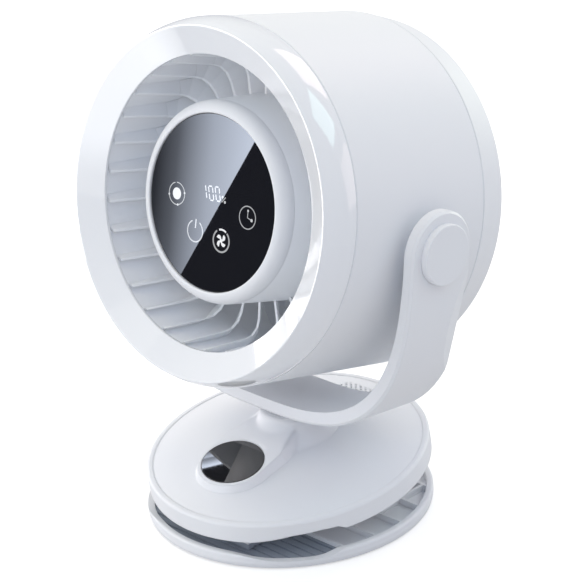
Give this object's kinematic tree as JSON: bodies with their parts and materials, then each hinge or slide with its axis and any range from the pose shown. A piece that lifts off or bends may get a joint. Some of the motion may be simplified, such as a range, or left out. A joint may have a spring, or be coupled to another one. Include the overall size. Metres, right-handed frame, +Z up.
{
  "type": "clip-on air circulator fan",
  "caption": "Drum-shaped air circulator with round touch display, tilting in a U yoke that swivels on a round spring-clip base.",
  "frame": {"origin": "centre of the round base, on the surface it stands on", "axes": "+Z up; the fan blows towards -Y; +X to the right of a person who stands behind it, along the tilt axis"},
  "size_m": [0.2144, 0.1717, 0.2712],
  "materials": {
    "white_shell": "satin white ABS, fine moulded grain",
    "gloss_bezel": "polished white ABS",
    "white_vanes": "satin white ABS",
    "dark_glass": "polished dark acrylic with printed icons",
    "black_gloss": "polished black plastic",
    "grey_rubber": "dark grey silicone rubber, matte",
    "foot_rubber": "grey silicone rubber, matte",
    "grey_plastic": "moulded grey nylon",
    "impeller_plastic": "satin white polypropylene",
    "board_green": "green solder mask",
    "light_block": "white reflector block",
    "black_plastic": "matte black plastic",
    "steel": "zinc-plated steel",
    "spring_steel": "drawn spring wire",
    "copper": "enamelled copper wire",
    "magnet": "bonded ferrite",
    "battery_wrap": "printed-free shrink film"
  },
  "bodies": {
    "lower_jaw": {"lower_jaw": "white_shell", "lower_pad": "grey_rubber", "foot_pad": "foot_rubber", "hinge_pin": "steel", "torsion_springs": "spring_steel"},
    "upper_jaw": {"upper_jaw": "white_shell", "jaw_cover": "white_shell", "upper_pad": "grey_rubber", "battery_pack": "battery_wrap", "base_board": "board_green", "push_switch": "black_plastic", "charging_socket": "steel", "socket_board": "board_green", "jaw_screws": "steel", "swivel_washer": "grey_plastic"},
    "button": {"oval_button": "black_gloss", "switch_plunger": "grey_plastic"},
    "yoke": {"yoke": "white_shell", "pivot_caps": "white_shell", "swivel_retainer": "steel", "swivel_screw": "steel"},
    "head": {"front_ring": "gloss_bezel", "barrel": "white_shell", "rear_cover": "white_shell", "fan_shroud": "grey_plastic", "air_duct": "white_vanes", "guide_vane_grille": "white_vanes", "hub_cup": "white_vanes", "hub_trim_ring": "white_shell", "display_glass": "dark_glass", "display_board": "board_green", "segment_block": "light_block", "touch_pads": "black_plastic", "driver_board": "board_green", "driver_components": "black_plastic", "display_board_screws": "steel", "driver_board_screws": "steel", "motor_bracket": "steel", "bracket_screws": "steel", "motor_bearings": "steel", "motor_stator": "steel", "motor_windings": "copper", "friction_washers": "grey_plastic", "pivot_screws": "steel"},
    "impeller": {"impeller": "impeller_plastic", "impeller_nut": "steel", "rotor_bell": "steel", "rotor_magnets": "magnet", "motor_shaft": "steel"}
  },
  "joints": [
    {"name": "clip_hinge", "type": "hinge", "parent": "lower_jaw", "child": "upper_jaw", "pos_m": [0, 0.012, 0.014], "axis": [-1, 0, 0], "range_deg": [0, 17], "stiffness_Nm_per_rad": 1.2, "springref_deg": -34.38, "deforming": ["torsion_springs"]},
    {"name": "button_press", "type": "slide", "parent": "upper_jaw", "child": "button", "axis": [0, 0.2957, -0.9553], "range_m": [0, 0.0008], "stiffness_N_per_m": 900, "springref_m": -0.0006},
    {"name": "pan_swivel", "type": "hinge", "parent": "upper_jaw", "child": "yoke", "pos_m": [0, 0.0065, 0.05], "axis": [0, 0, 1], "range_deg": [-160, 160]},
    {"name": "head_tilt", "type": "hinge", "parent": "yoke", "child": "head", "pos_m": [0, 0.01449, 0.1622], "axis": [-1, 0, 0], "range_deg": [-22, 11]},
    {"name": "impeller_spin", "type": "hinge", "parent": "head", "child": "impeller", "pos_m": [0, 0.0107, 0.1695], "axis": [0, -0.972, 0.2351], "continuous": true}
  ]
}
